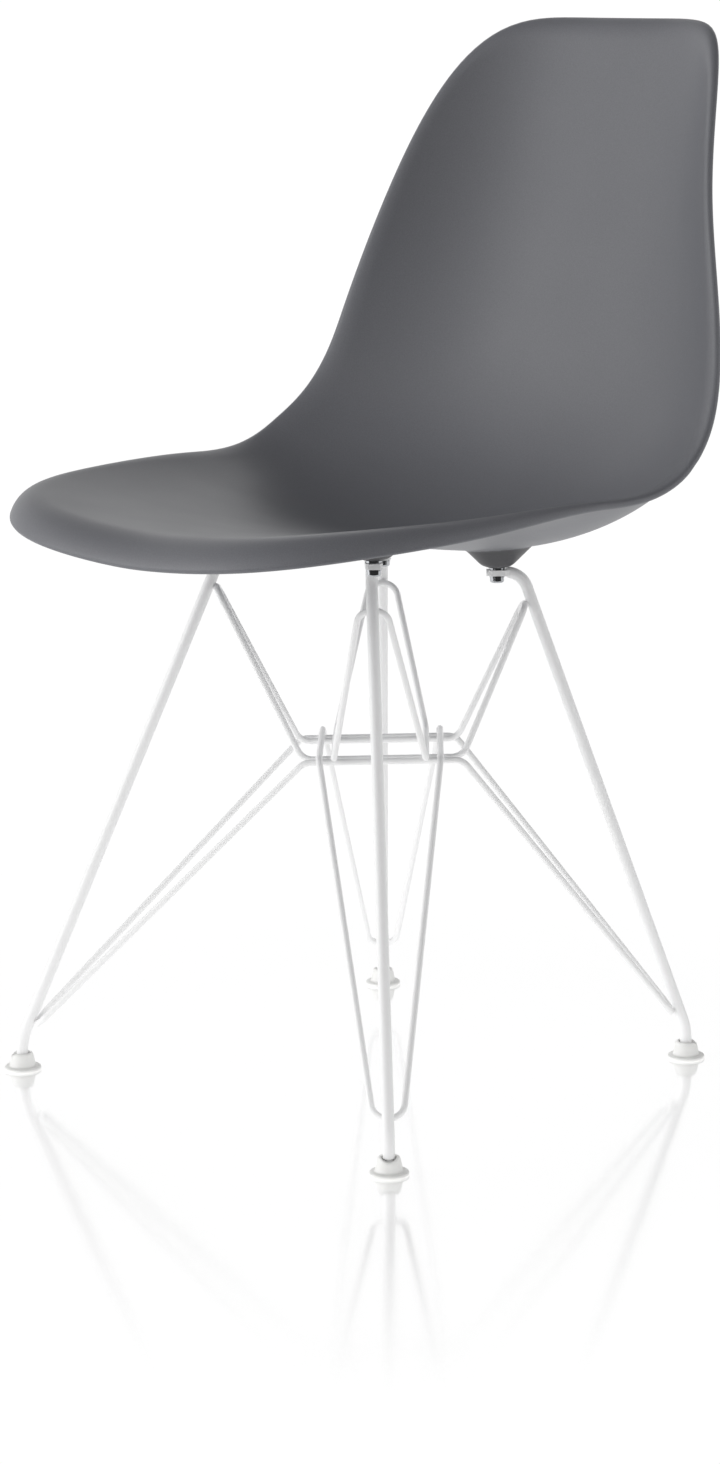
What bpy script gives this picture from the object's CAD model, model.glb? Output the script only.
"""A moulded shell chair on a white welded wire base, dressed over the solids of its frame."""

import math

import bmesh
import bpy
from mathutils import Matrix, Vector
from mathutils.bvhtree import BVHTree


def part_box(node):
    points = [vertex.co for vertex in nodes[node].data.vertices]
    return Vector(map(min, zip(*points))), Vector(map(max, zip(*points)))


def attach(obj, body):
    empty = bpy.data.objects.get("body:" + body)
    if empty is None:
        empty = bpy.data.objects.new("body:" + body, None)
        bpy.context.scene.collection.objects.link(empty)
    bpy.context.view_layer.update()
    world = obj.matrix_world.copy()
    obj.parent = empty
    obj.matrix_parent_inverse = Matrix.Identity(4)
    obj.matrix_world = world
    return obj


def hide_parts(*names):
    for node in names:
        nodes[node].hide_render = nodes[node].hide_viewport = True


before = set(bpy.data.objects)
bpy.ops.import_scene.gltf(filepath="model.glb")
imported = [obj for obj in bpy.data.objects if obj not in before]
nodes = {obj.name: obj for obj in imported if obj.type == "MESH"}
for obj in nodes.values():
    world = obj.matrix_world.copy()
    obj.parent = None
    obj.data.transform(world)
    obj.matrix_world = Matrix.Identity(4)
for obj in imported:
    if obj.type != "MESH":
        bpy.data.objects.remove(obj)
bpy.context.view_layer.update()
scene = bpy.context.scene
scene.view_settings.view_transform = "Standard"

MM = 0.001
CORNERS = ("front_right", "front_left", "rear_right", "rear_left")


# Photograph's viewpoint

CAMERA_AZIMUTH = math.radians(44.370)
CAMERA_DISTANCE = 3.0250
CAMERA_HEIGHT = 0.8890
CAMERA_PITCH = math.radians(-11.565)
CAMERA_ROLL = math.radians(-0.703)
CAMERA_TURN = math.radians(0.092)
LENS = 97.89
# The viewpoint was measured from this distance in front of the chair's middle.
CAMERA_AIM_Y = -0.0306
SENSOR_WIDTH = 36


def add_camera():
    """The camera stands to the right of the chair's front and looks slightly down."""
    facing = CAMERA_AZIMUTH + CAMERA_TURN
    forward = Vector(
        (
            -math.sin(facing) * math.cos(CAMERA_PITCH),
            math.cos(facing) * math.cos(CAMERA_PITCH),
            math.sin(CAMERA_PITCH),
        )
    )
    level_right = forward.cross(Vector((0, 0, 1))).normalized()
    level_up = level_right.cross(forward)
    right = level_right * math.cos(CAMERA_ROLL) + level_up * math.sin(CAMERA_ROLL)
    up = right.cross(forward)
    place = Vector(
        (
            math.sin(CAMERA_AZIMUTH) * CAMERA_DISTANCE,
            -math.cos(CAMERA_AZIMUTH) * CAMERA_DISTANCE + CAMERA_AIM_Y,
            CAMERA_HEIGHT,
        )
    )
    camera = bpy.data.objects.new("camera", bpy.data.cameras.new("camera"))
    camera.data.lens = LENS
    camera.data.sensor_width = SENSOR_WIDTH
    camera.matrix_world = Matrix(
        (
            (right.x, up.x, -forward.x, place.x),
            (right.y, up.y, -forward.y, place.y),
            (right.z, up.z, -forward.z, place.z),
            (0, 0, 0, 1),
        )
    )
    scene.collection.objects.link(camera)
    scene.camera = camera


# Materials


def linear(hex_colour):
    """An sRGB hex colour as linear red, green, blue and alpha."""
    channels = [int(hex_colour[place : place + 2], 16) / 255 for place in (0, 2, 4)]
    return [c / 12.92 if c <= 0.04045 else ((c + 0.055) / 1.055) ** 2.4 for c in channels] + [1.0]


def add_node(tree, kind, values=(), links=(), **settings):
    """Adds a node. Values go to its sockets, and links come from other nodes' outputs."""
    node = tree.nodes.new("ShaderNode" + kind)
    for name, setting in settings.items():
        setattr(node, name, setting)
    for socket, value in dict(values).items():
        node.inputs[socket].default_value = value
    for socket, source in dict(links).items():
        tree.links.new(source, node.inputs[socket])
    return node


def mapped(tree, source, results, limits=(0.0, 1.0), smooth=False):
    """A source's value, mapped from between two limits to between two results."""
    ends = {"From Min": limits[0], "From Max": limits[1], "To Min": results[0], "To Max": results[1]}
    style = "SMOOTHSTEP" if smooth else "LINEAR"
    return add_node(tree, "MapRange", ends, {"Value": source}, interpolation_type=style).outputs["Result"]


def worked_out(tree, operation, one, other):
    """Two sources put together by the named operation."""
    return add_node(tree, "Math", links={0: one, 1: other}, operation=operation).outputs[0]


def new_material(name):
    """An empty node material, with its output."""
    material = bpy.data.materials.new(name)
    material.use_nodes = True
    tree = material.node_tree
    tree.nodes.clear()
    return material, tree, add_node(tree, "OutputMaterial")


def per_metre(size_mm):
    """Noise scale at which one cell of a pattern is this many millimetres wide."""
    return 1 / (size_mm * MM)


# Widths and depths of the patterns are in millimetres.
GRAIN_WIDTH = 0.9
GRAIN_DEPTH = 0.2
GRAIN_STRENGTH = 0.25
GRAIN_RAMP = (0.3, 0.7)
FLOW_WIDTH = 60
PLASTIC_ROUGHNESS = (0.38, 0.46)
PLASTIC_GLOSS = 0.42
SHELL_GREYS = ("6c6d72", "75767b")
BOSS_GREYS = ("3d3d40", "454548")


def moulded_polypropylene(name, greys):
    """Grey polypropylene from a spark-eroded mould: fine even grain, broad soft highlights."""
    material, tree, output = new_material(name)
    place = add_node(tree, "TexCoord").outputs["Object"]
    # The real grain is about 0.3 mm. It is drawn at 0.9 mm, because finer grain would not show.
    grain = add_node(
        tree,
        "TexNoise",
        {"Scale": per_metre(GRAIN_WIDTH), "Detail": 3.0, "Roughness": 0.6},
        {"Vector": place},
    )
    flow = add_node(tree, "TexNoise", {"Scale": per_metre(FLOW_WIDTH), "Detail": 2.0}, {"Vector": place})
    colour = add_node(tree, "ValToRGB", links={"Fac": grain.outputs["Fac"]})
    for stop, position, grey in zip(colour.color_ramp.elements, GRAIN_RAMP, greys):
        stop.position = position
        stop.color = linear(grey)
    bump = add_node(
        tree,
        "Bump",
        {"Strength": GRAIN_STRENGTH, "Distance": GRAIN_DEPTH * MM},
        {"Height": grain.outputs["Fac"]},
    )
    shader = add_node(
        tree,
        "BsdfPrincipled",
        {"IOR": 1.49, "Specular IOR Level": PLASTIC_GLOSS},
        {
            "Base Color": colour.outputs["Color"],
            "Roughness": mapped(tree, flow.outputs["Fac"], PLASTIC_ROUGHNESS),
            "Normal": bump.outputs["Normal"],
        },
    )
    tree.links.new(shader.outputs["BSDF"], output.inputs["Surface"])
    return material


PEEL_WIDTH = 2
PEEL_DEPTH = 0.05
PEEL_STRENGTH = 0.06
COATING_ROUGHNESS = (0.28, 0.36)


def powder_coated_steel():
    """White polyester powder coat, baked on steel: a satin skin with faint orange peel."""
    material, tree, output = new_material("powder_coated_steel")
    place = add_node(tree, "TexCoord").outputs["Object"]
    peel = add_node(tree, "TexNoise", {"Scale": per_metre(PEEL_WIDTH), "Detail": 1.0}, {"Vector": place})
    bump = add_node(
        tree,
        "Bump",
        {"Strength": PEEL_STRENGTH, "Distance": PEEL_DEPTH * MM},
        {"Height": peel.outputs["Fac"]},
    )
    roughness = mapped(tree, peel.outputs["Fac"], COATING_ROUGHNESS)
    shader = add_node(
        tree,
        "BsdfPrincipled",
        {"Base Color": linear("f7f7f7"), "IOR": 1.5},
        {"Roughness": roughness, "Normal": bump.outputs["Normal"]},
    )
    tree.links.new(shader.outputs["BSDF"], output.inputs["Surface"])
    return material


TURNING_MARK_WIDTH = 0.4
CHROME_ROUGHNESS = (0.05, 0.14)


def chrome_plated_steel():
    """Bright chrome over turned steel: mirrors its surroundings, with faint turning marks."""
    material, tree, output = new_material("chrome_plated_steel")
    place = add_node(tree, "TexCoord").outputs["Object"]
    marks = add_node(
        tree, "TexNoise", {"Scale": per_metre(TURNING_MARK_WIDTH), "Detail": 2.0}, {"Vector": place}
    )
    shader = add_node(
        tree,
        "BsdfPrincipled",
        {"Base Color": linear("b9bbbe"), "Metallic": 1.0},
        {"Roughness": mapped(tree, marks.outputs["Fac"], CHROME_ROUGHNESS)},
    )
    tree.links.new(shader.outputs["BSDF"], output.inputs["Surface"])
    return material


CLOUD_WIDTH = 4
NYLON_ROUGHNESS = (0.38, 0.5)
NYLON_GLOW_DEPTH = 1.5


def moulded_nylon():
    """White injection-moulded nylon: waxy and slightly translucent, with a soft sheen."""
    material, tree, output = new_material("moulded_nylon")
    place = add_node(tree, "TexCoord").outputs["Object"]
    cloud = add_node(tree, "TexNoise", {"Scale": per_metre(CLOUD_WIDTH), "Detail": 2.0}, {"Vector": place})
    shader = add_node(
        tree,
        "BsdfPrincipled",
        {
            "Base Color": linear("f2f2f0"),
            "IOR": 1.53,
            "Subsurface Weight": 0.2,
            "Subsurface Radius": (NYLON_GLOW_DEPTH * MM, NYLON_GLOW_DEPTH * MM, NYLON_GLOW_DEPTH * MM),
            "Subsurface Scale": 1.0,
        },
        {"Roughness": mapped(tree, cloud.outputs["Fac"], NYLON_ROUGHNESS)},
    )
    tree.links.new(shader.outputs["BSDF"], output.inputs["Surface"])
    return material


# Shell: one moulding, from its middle line and seven stations, in millimetres

SHELL_FRONT_Y = -275.0
SHELL_RUN = 820.5
SEAT_RUN = 265.3
BEND_RUN = 297.0
SEAT_FRONT_SLOPE = -3.3
SEAT_REAR_SLOPE = -11.0
BACK_LEAN = 76.3
HALF_WIDTHS = (222.2, 228.2, 224.0, 221.9, 203.4, 169.3, 146.9)
SIDE_RISES = (25.4, 34.5, 55.6, 71.8, 63.9, 64.0, 53.3)
CORNER_POWERS = (4.1, 5.8)
DISH_POWERS = (1.7, 3.6)
ROLL_REACHES = (29.1, 22.9, 23.3, 18.0)
ROLL_DROPS = (29.0, 11.4, 12.5, 12.3)
WALL = 5.0
# The rim rolls over by this share of a quarter circle, so that it never stands upright.
ROLL_SHARE = 0.97
RINGS = 64
SPOKES = 288
# Above 1, the rings lie closer together towards the rim.
RING_POWER = 1.6
LIP_STEPS = 5
LINE_STEPS = 800
EDGE_STEPS = 2880


def along(share, values):
    """A smooth line through equally spaced values, at a share of the way from first to last."""
    last = len(values) - 1
    place = min(max(share, 0.0), 1.0) * last
    index = min(int(place), last - 1)
    rest = place - index
    before = values[index - 1] if index > 0 else 2 * values[0] - values[1]
    after = values[index + 2] if index + 2 <= last else 2 * values[last] - values[last - 1]
    here, there = values[index], values[index + 1]
    slope = there - before
    bend = 2 * before - 5 * here + 4 * there - after
    twist = 3 * (here - there) + after - before
    return here + 0.5 * rest * (slope + rest * (bend + rest * twist))


def blended(share, ends):
    """A value part of the way between two ends."""
    return ends[0] + (ends[1] - ends[0]) * share


def lean_at(run):
    """Direction of the middle line above level, in radians, after a run from the front edge."""
    seat = blended(min(max(run / SEAT_RUN, 0.0), 1.0), (SEAT_FRONT_SLOPE, SEAT_REAR_SLOPE))
    turn = min(max((run - SEAT_RUN) / BEND_RUN, 0.0), 1.0)
    turn = turn * turn * (3 - 2 * turn)
    return math.radians(blended(turn, (seat, BACK_LEAN)))


def middle_line():
    """Points (y, z) of the middle line, evenly spaced, with z counted from the front edge."""
    step = SHELL_RUN / LINE_STEPS
    points = [(SHELL_FRONT_Y, 0.0)]
    for index in range(LINE_STEPS):
        lean = lean_at((index + 0.5) * step)
        y, z = points[-1]
        points.append((y + step * math.cos(lean), z + step * math.sin(lean)))
    return points


def on_line(line, run):
    """The middle line's point after a run from the front edge."""
    place = min(max(run / SHELL_RUN, 0.0), 1.0) * LINE_STEPS
    index = min(int(place), LINE_STEPS - 1)
    rest = place - index
    return tuple(blended(rest, ends) for ends in zip(line[index], line[index + 1]))


def rim_direction(angle):
    """Lengthways and sideways shares of the rim at an angle, from a rounded oblong."""
    power = 2 / blended((1 + math.cos(angle)) / 2, CORNER_POWERS)
    return tuple(math.copysign(abs(value) ** power, value) for value in (math.cos(angle), math.sin(angle)))


def even_spokes():
    """Rim directions that are evenly spaced along the flat rim."""
    angles = [2 * math.pi * index / EDGE_STEPS for index in range(EDGE_STEPS + 1)]
    walked = [0.0]
    last = None
    for angle in angles:
        lengthways, sideways = rim_direction(angle)
        point = (SHELL_RUN / 2 * lengthways, along((1 + lengthways) / 2, HALF_WIDTHS) * sideways)
        if last is not None:
            walked.append(walked[-1] + math.dist(point, last))
        last = point
    spokes = []
    index = 0
    for spoke in range(SPOKES):
        wanted = walked[-1] * spoke / SPOKES
        while walked[index + 1] < wanted:
            index += 1
        rest = (wanted - walked[index]) / (walked[index + 1] - walked[index])
        spokes.append(rim_direction(blended(rest, (angles[index], angles[index + 1]))))
    return spokes


def seat_point(line, ring, spoke):
    """A point of the upper surface, at a share of the way from the shell's middle to its rim."""
    lengthways, sideways = spoke
    run = SHELL_RUN / 2 * (1 + ring * lengthways)
    share = run / SHELL_RUN
    width = along(share, HALF_WIDTHS)
    off_middle = ring * sideways
    y, z = on_line(line, run)
    lean = lean_at(run)
    rise = along(share, SIDE_RISES) * abs(off_middle) ** blended(share, DISH_POWERS)
    to_rim = (1 - ring) * math.hypot(SHELL_RUN / 2 * lengthways, width * sideways)
    into_roll = min(max(1 - to_rim / along(share, ROLL_REACHES), 0.0), 1.0) * ROLL_SHARE
    drop = along(share, ROLL_DROPS) * (1 - math.sqrt(1 - into_roll * into_roll))
    lift = rise - drop
    return Vector((width * off_middle, y - lift * math.sin(lean), z + lift * math.cos(lean)))


def wall_directions(rows):
    """Unit directions through the wall, from each point of the upper surface to the lower one."""
    lean = lean_at(SHELL_RUN / 2)
    directions = [[Vector((0, math.sin(lean), -math.cos(lean)))] * SPOKES]
    for row in range(1, len(rows)):
        inner, outer = rows[row - 1], rows[min(row + 1, len(rows) - 1)]
        level = []
        for index in range(SPOKES):
            sideways = rows[row][(index + 1) % SPOKES] - rows[row][index - 1]
            level.append((outer[index] - inner[index]).cross(sideways).normalized())
        directions.append(level)
    return directions


def shell_rows():
    """Rows of points from the middle of the upper surface, round the lip, to the middle below."""
    line = middle_line()
    spokes = even_spokes()
    shares = [1 - (1 - step / RINGS) ** RING_POWER for step in range(RINGS + 1)]
    upper = [[seat_point(line, share, spoke) for spoke in spokes] for share in shares]
    through = wall_directions(upper)
    lower = [[p + d * WALL for p, d in zip(row, level)] for row, level in zip(upper, through)]
    lip = []
    for step in range(1, LIP_STEPS):
        turn = math.pi * step / LIP_STEPS
        row = []
        for index in range(SPOKES):
            top, bottom = upper[-1][index], lower[-1][index]
            outward = (upper[-1][index] - upper[-2][index]).normalized()
            middle = (top + bottom) / 2
            row.append(middle + (top - middle) * math.cos(turn) + outward * (math.sin(turn) * WALL / 2))
        lip.append(row)
    return upper + lip + lower[::-1]


def shell_mesh():
    """The shell's closed surface, set so that its underside meets the solid's underside."""
    rows = shell_rows()
    mesh = bmesh.new()
    first = mesh.verts.new(rows[0][0] * MM)
    last = mesh.verts.new(rows[-1][0] * MM)
    rings = [[mesh.verts.new(point * MM) for point in row] for row in rows[1:-1]]
    for index in range(SPOKES):
        following = (index + 1) % SPOKES
        mesh.faces.new((first, rings[0][following], rings[0][index]))
        mesh.faces.new((last, rings[-1][index], rings[-1][following]))
        for inner, outer in zip(rings, rings[1:]):
            mesh.faces.new((inner[index], inner[following], outer[following], outer[index]))
    bmesh.ops.recalc_face_normals(mesh, faces=mesh.faces)
    return mesh


def add_piece(name, mesh, material, body):
    """Turns a mesh into a smooth object that rides on a body."""
    data = bpy.data.meshes.new(name)
    mesh.to_mesh(data)
    mesh.free()
    data.shade_smooth()
    data.materials.append(material)
    piece = bpy.data.objects.new(name, data)
    scene.collection.objects.link(piece)
    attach(piece, body)
    return piece


def solid_tree(node):
    """A node's solid, ready to be probed."""
    data = nodes[node].data
    return BVHTree.FromPolygons([v.co for v in data.vertices], [p.vertices for p in data.polygons])


def add_shell(material, boss_material):
    """Replaces the shell's solid with a finer surface of the same shape, and gives it its bosses."""
    mesh = shell_mesh()
    low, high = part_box("seat_shell")
    above_seat = Vector((0, low.y / 2, high.z))
    down = Vector((0, 0, -1))
    seat_level = solid_tree("seat_shell").ray_cast(above_seat, down)[0].z
    own_level = BVHTree.FromBMesh(mesh).ray_cast(above_seat, down)[0].z
    bmesh.ops.translate(mesh, vec=(0, 0, seat_level - own_level), verts=mesh.verts)
    surface = BVHTree.FromBMesh(mesh)
    shell = add_piece("seat_and_back", mesh, material, "chair")
    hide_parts("seat_shell")
    for corner in CORNERS:
        add_boss(corner, surface, around=material, material=boss_material)


# Bosses under the seat, in millimetres

INSERT_RADIUS = 4.5
INSERT_COLLAR = 2.0
BOSS_RADIUS = 12.5
BOSS_NOSE_RADIUS = 7.5
BOSS_NOSE_HEIGHT = 1.8
BOSS_EDGE = 1.2
BOSS_FILLET = 2.0
# A boss lies this far below the shell and this far into the insert.
BOSS_SKIN = 0.05
BOSS_REACH = 34.0
BOSS_RINGS = 48
BOSS_SPOKES = 96


def rounded_least(one, other, rounding):
    """The smaller of two heights, with the corner where they meet rounded off."""
    share = min(max(0.5 + 0.5 * (other - one) / rounding, 0.0), 1.0)
    return blended(share, (other, one)) - rounding * share * (1 - share)


def boss_height(radius):
    """Height of a boss's own surface above its lower face, at a radius."""
    nose = (radius - BOSS_NOSE_RADIUS) * BOSS_NOSE_HEIGHT / (BOSS_RADIUS - BOSS_NOSE_RADIUS)
    cone = BOSS_NOSE_HEIGHT + radius - BOSS_RADIUS
    return -rounded_least(-max(nose, 0.0), -cone, BOSS_EDGE)


def add_boss(corner, surface, around, material):
    """A moulded boss that flares into the shell's underside round a threaded insert."""
    low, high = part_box(corner + "_threaded_insert")
    axis_x, axis_y = (low.x + high.x) / 2, (low.y + high.y) / 2
    inner = (INSERT_RADIUS - BOSS_SKIN) * MM
    mesh = bmesh.new()
    rings = []
    for ring in range(BOSS_RINGS + 1):
        radius = blended(ring / BOSS_RINGS, (inner, BOSS_REACH * MM))
        row = []
        for spoke in range(BOSS_SPOKES):
            angle = 2 * math.pi * spoke / BOSS_SPOKES
            x, y = axis_x + radius * math.cos(angle), axis_y + radius * math.sin(angle)
            underside = surface.ray_cast(Vector((x, y, 0)), Vector((0, 0, 1)))[0].z - BOSS_SKIN * MM
            own = low.z + INSERT_COLLAR * MM + boss_height(radius / MM) * MM
            vertex = mesh.verts.new((x, y, rounded_least(own, underside, BOSS_FILLET * MM)))
            row.append((vertex, own < underside))
        rings.append(row)
    for one, other in zip(rings, rings[1:]):
        for index in range(BOSS_SPOKES):
            following = (index + 1) % BOSS_SPOKES
            corners = (one[index], other[index], other[following], one[following])
            face = mesh.faces.new([vertex for vertex, on_boss in corners])
            face.material_index = 0 if all(on_boss for vertex, on_boss in corners) else 1
    boss = add_piece(corner + "_boss", mesh, material, "chair")
    boss.data.materials.append(around)


# Glides: a flat foot and a bell-shaped collar with a notch for the leg, in millimetres

GLIDE_PROFILE = (
    (0.0, 0.0),
    (13.4, 0.0),
    (14.2, 0.25),
    (14.6, 0.9),
    (14.6, 1.7),
    (14.3, 2.4),
    (13.5, 2.9),
    (12.2, 3.1),
    (11.0, 3.0),
    (10.4, 3.3),
    (10.1, 4.0),
    (9.9, 5.2),
    (9.6, 7.2),
    (9.1, 9.4),
    (8.6, 11.4),
    (8.2, 12.6),
    (7.7, 13.4),
    (7.0, 13.8),
    (6.4, 13.75),
    (6.0, 13.3),
    (5.8, 12.4),
    (5.8, 11.2),
    (3.9, 10.7),
    (4.4, 8.8),
    (4.6, 7.4),
    (4.2, 5.5),
    (3.0, 3.9),
    (0.0, 2.8),
)
GLIDE_TOP = 13.8
GLIDE_SPOKES = 144
NOTCH_FROM = 9.0
NOTCH_HALF_WIDTH = 5.4
NOTCH_DEPTH = 2.4


def glide_level(radius, height, angle):
    """Height of a glide's surface, with a round notch in the collar on its outward side."""
    off_axis = radius * math.sin(angle) / NOTCH_HALF_WIDTH
    if height < NOTCH_FROM or math.cos(angle) < 0 or abs(off_axis) > 1:
        return height
    return min(height, GLIDE_TOP - NOTCH_DEPTH * math.sqrt(1 - off_axis * off_axis))


def add_glide(corner, material):
    """A nylon glide, turned about its leg so that the notch faces away from the seat."""
    low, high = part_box(corner + "_glide")
    bolt_low, bolt_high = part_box(corner + "_mount_bolt")
    centre = Vector(((low.x + high.x) / 2, (low.y + high.y) / 2, low.z))
    outward = centre - (bolt_low + bolt_high) / 2
    facing = math.atan2(outward.y, outward.x)
    mesh = bmesh.new()
    rings = []
    for radius, height in GLIDE_PROFILE[1:-1]:
        ring = []
        for spoke in range(GLIDE_SPOKES):
            angle = 2 * math.pi * spoke / GLIDE_SPOKES
            across, along_way = radius * math.cos(angle + facing), radius * math.sin(angle + facing)
            place = Vector((across, along_way, glide_level(radius, height, angle)))
            ring.append(mesh.verts.new(centre + place * MM))
        rings.append(ring)
    ends = [mesh.verts.new(centre + Vector((0, 0, GLIDE_PROFILE[end][1])) * MM) for end in (0, -1)]
    for index in range(GLIDE_SPOKES):
        following = (index + 1) % GLIDE_SPOKES
        mesh.faces.new((ends[0], rings[0][following], rings[0][index]))
        mesh.faces.new((ends[1], rings[-1][index], rings[-1][following]))
        for one, other in zip(rings, rings[1:]):
            mesh.faces.new((one[index], one[following], other[following], other[index]))
    bmesh.ops.recalc_face_normals(mesh, faces=mesh.faces)
    glide = add_piece(corner + "_push_fit_glide", mesh, material, corner + "_foot")
    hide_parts(corner + "_glide")


# Welds, where wires cross each other or meet the legs, in millimetres

WELD_TOUCH = 0.25
WELD_GROUP = 6.0
LEG_WELD_RADIUS = 2.7
WIRE_WELD_RADIUS = 2.2
WELD_LOOPS = (
    "front_left_lower_loop",
    "front_left_upper_loop",
    "front_right_lower_loop",
    "front_right_upper_loop",
)


def contact_points(node, other):
    """Middles of the patches in which two nodes touch."""
    tree = solid_tree(other)
    groups = []
    for vertex in nodes[node].data.vertices:
        near = tree.find_nearest(vertex.co, WELD_TOUCH * MM)
        if near[0] is None:
            continue
        for group in groups:
            if (group[0] - vertex.co).length < WELD_GROUP * MM:
                group.append(vertex.co.copy())
                break
        else:
            groups.append([vertex.co.copy()])
    return [sum(group, Vector()) / len(group) for group in groups]


def add_welds(material):
    """A small coated bead in each crevice where two rods are welded."""
    mesh = bmesh.new()
    legs = [corner + "_leg" for corner in CORNERS]
    for index, loop in enumerate(WELD_LOOPS):
        for other in legs + list(WELD_LOOPS[:index]):
            radius = LEG_WELD_RADIUS if other in legs else WIRE_WELD_RADIUS
            for middle in contact_points(loop, other):
                place = Matrix.Translation(middle)
                bmesh.ops.create_icosphere(mesh, subdivisions=3, radius=radius * MM, matrix=place)
    add_piece("weld_beads", mesh, material, "chair")


# Surroundings

# Brightness of the studio's walls, of its table, and of the white that the camera sees.
STUDIO = 1.5
TABLE_GLOW = 0.42
SEEN_WHITE = 1.02
TABLE_ROUGHNESS = 0.1
FLOOR_HALF_WIDTH = 40.0
# Towards the camera, the table darkens between these distances from the chair, in metres.
NEAR_EDGE = (0.5, 1.2)
PAST_NEAR_EDGE = 0.08
# Round the chair the table is polished and shows shadow, out to the second distance.
NEAR_CHAIR = (0.32, 0.8)
POLISH_NEAR_CHAIR = 1.15
WHITE_NEAR_CHAIR = 0.9
# Each part of the studio dims from the first to the second share of the way towards it.
CEILING_FALL = (0.30, 0.75)
CEILING_LEAST = 0.16
RIGHT_FALL = (-0.1, 0.8)
RIGHT_LEAST = 0.6
FAR_END_FALL = (0.6, 0.95)
FAR_END_LEAST = 0.85
# Mirrors see this share of the studio, apart from its white walls.
MIRRORED_LEAST = 0.25
# The white that mirrors see fades between these shares of the way towards each part.
MIRRORED_CEILING = (0.5, 0.8)
MIRRORED_FAR_END = (0.5, 0.95)


def towards(tree, place, x, y):
    """How far a place or direction lies towards a level direction."""
    return add_node(
        tree, "VectorMath", {1: (x, y, 0)}, {0: place}, operation="DOT_PRODUCT"
    ).outputs["Value"]


def towards_camera(tree, place):
    """How far a place or direction lies towards the camera's end of the studio."""
    return towards(tree, place, math.sin(CAMERA_AZIMUTH), -math.cos(CAMERA_AZIMUTH))


def looked_at(tree, rays):
    """1 for rays that come from the camera or through glass, and 0 for the others."""
    return worked_out(tree, "MAXIMUM", rays.outputs["Is Camera Ray"], rays.outputs["Is Transmission Ray"])


def mixed(tree, share, one, other):
    """One shader at a share of 0 that turns into another at a share of 1."""
    return add_node(tree, "MixShader", links={"Fac": share, 1: one.outputs[0], 2: other.outputs[0]})


def white_floor():
    """A lit white table that ends in the white behind it, polished where the chair stands."""
    material, tree, output = new_material("white_floor")
    rays = add_node(tree, "LightPath")
    place = add_node(tree, "TexCoord").outputs["Object"]
    to_near_edge = towards_camera(tree, place)
    glow = mapped(tree, to_near_edge, (TABLE_GLOW, 0.0), NEAR_EDGE, smooth=True)
    lit = add_node(tree, "Emission", {"Color": linear("ffffff")}, {"Strength": glow})
    top = mapped(tree, to_near_edge, (1.0, PAST_NEAR_EDGE), NEAR_EDGE, smooth=True)
    matt = add_node(tree, "BsdfDiffuse", links={"Color": top})
    table = add_node(tree, "AddShader", links={0: matt.outputs[0], 1: lit.outputs[0]})
    white = add_node(tree, "Emission", {"Color": linear("ffffff"), "Strength": SEEN_WHITE})
    polish = add_node(tree, "BsdfGlossy", {"Color": linear("ffffff"), "Roughness": TABLE_ROUGHNESS})
    slant = add_node(tree, "LayerWeight", {"Blend": 0.5})
    distance = add_node(tree, "VectorMath", links={0: place}, operation="LENGTH").outputs["Value"]
    polished = mapped(tree, distance, (POLISH_NEAR_CHAIR, 0.0), NEAR_CHAIR, smooth=True)
    share = worked_out(tree, "MULTIPLY", slant.outputs["Facing"], polished)
    plain = mapped(tree, distance, (WHITE_NEAR_CHAIR, 1.0), NEAR_CHAIR)
    shown = mixed(tree, plain, table, mixed(tree, share, white, polish))
    whole = mixed(tree, looked_at(tree, rays), table, shown)
    tree.links.new(whole.outputs[0], output.inputs["Surface"])
    return material


def add_floor():
    """The table's level plane, which goes on far past the picture."""
    mesh = bmesh.new()
    bmesh.ops.create_grid(mesh, x_segments=1, y_segments=1, size=FLOOR_HALF_WIDTH)
    data = bpy.data.meshes.new("floor")
    mesh.to_mesh(data)
    mesh.free()
    data.materials.append(white_floor())
    floor = bpy.data.objects.new("floor", data)
    scene.collection.objects.link(floor)


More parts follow.
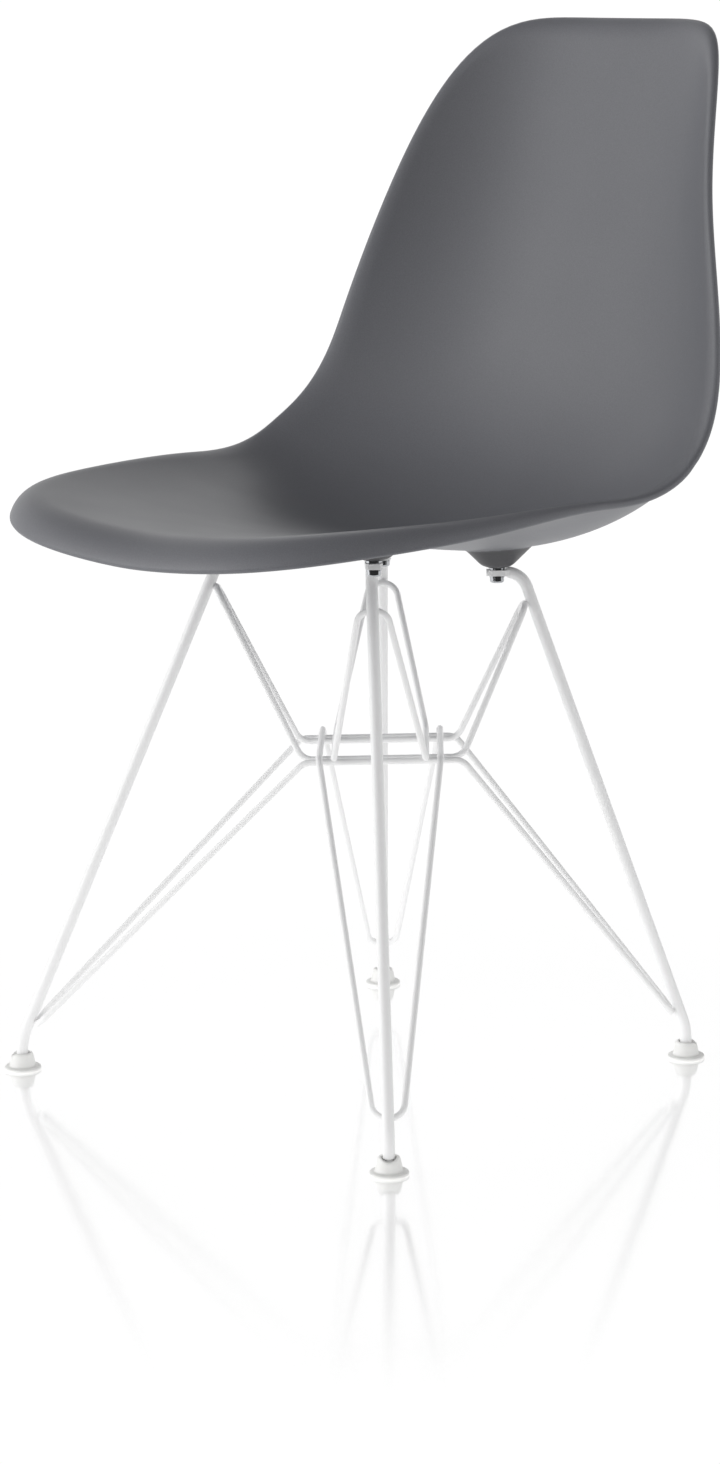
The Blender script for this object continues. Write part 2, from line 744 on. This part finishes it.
def add_world():
    """A white studio with a dim ceiling, and a right wall and camera's end a little darker.

    The camera sees plain white past the chair, and so do mirrors that look towards the walls.
    """
    world = bpy.data.worlds.new("studio")
    scene.world = world
    world.use_nodes = True
    tree = world.node_tree
    tree.nodes.clear()
    output = add_node(tree, "OutputWorld")
    rays = add_node(tree, "LightPath")
    mirror_ray = rays.outputs["Is Glossy Ray"]
    direction = add_node(tree, "TexCoord").outputs["Generated"]
    height = add_node(tree, "SeparateXYZ", links={0: direction}).outputs["Z"]
    far_end = towards_camera(tree, direction)
    right_wall = towards(tree, direction, math.cos(CAMERA_AZIMUTH), math.sin(CAMERA_AZIMUTH))
    dimming = (
        mapped(tree, height, (1.0, CEILING_LEAST), CEILING_FALL, smooth=True),
        mapped(tree, right_wall, (1.0, RIGHT_LEAST), RIGHT_FALL, smooth=True),
        mapped(tree, far_end, (1.0, FAR_END_LEAST), FAR_END_FALL, smooth=True),
        mapped(tree, mirror_ray, (1.0, MIRRORED_LEAST), smooth=True),
    )
    strength = dimming[0]
    for factor in dimming[1:]:
        strength = worked_out(tree, "MULTIPLY", strength, factor)
    lit = add_node(tree, "Math", {1: STUDIO}, {0: strength}, operation="MULTIPLY").outputs[0]
    light = add_node(tree, "Background", {"Color": linear("ffffff")}, {"Strength": lit})
    white = add_node(tree, "Background", {"Color": linear("ffffff"), "Strength": 1.0})
    walls = worked_out(
        tree,
        "MULTIPLY",
        mapped(tree, height, (1.0, 0.0), MIRRORED_CEILING, smooth=True),
        mapped(tree, far_end, (1.0, 0.0), MIRRORED_FAR_END, smooth=True),
    )
    mirrored = worked_out(tree, "MULTIPLY", mirror_ray, walls)
    plain = worked_out(tree, "MAXIMUM", looked_at(tree, rays), mirrored)
    whole = mixed(tree, plain, light, white)
    tree.links.new(whole.outputs[0], output.inputs["Surface"])


LAMP_PLACE = (-2.0, -2.4, 1.0)
LAMP_TARGET = (0, 0, 0.5)
LAMP_SIDE = 1.6
LAMP_POWER = 20


def add_soft_light(name, place, target, side, power):
    """A square soft box that faces its target."""
    light = bpy.data.lights.new(name, "AREA")
    light.shape = "RECTANGLE"
    light.size = side
    light.size_y = side
    light.energy = power
    lamp = bpy.data.objects.new(name, light)
    lamp.location = place
    lamp.rotation_euler = (Vector(target) - Vector(place)).to_track_quat("-Z", "Y").to_euler()
    scene.collection.objects.link(lamp)


# Whole chair


def dress_chair():
    """Gives every solid its finish, and adds the shell, bosses, welds and glides."""
    plastic = moulded_polypropylene("moulded_polypropylene", SHELL_GREYS)
    boss_plastic = moulded_polypropylene("boss_polypropylene", BOSS_GREYS)
    coated = powder_coated_steel()
    chrome = chrome_plated_steel()
    nylon = moulded_nylon()
    finishes = {
        "_leg": coated,
        "_loop": coated,
        "_threaded_insert": chrome,
        "_spring_washer": chrome,
        "_mount_bolt": chrome,
        "_glide": nylon,
        "seat_shell": plastic,
    }
    for name, node in nodes.items():
        for ending, material in finishes.items():
            if name.endswith(ending):
                node.data.materials.clear()
                node.data.materials.append(material)
    add_shell(plastic, boss_plastic)
    add_welds(coated)
    for corner in CORNERS:
        add_glide(corner, nylon)


dress_chair()
add_floor()
add_world()
add_soft_light("left_light", LAMP_PLACE, LAMP_TARGET, LAMP_SIDE, LAMP_POWER)
add_camera()
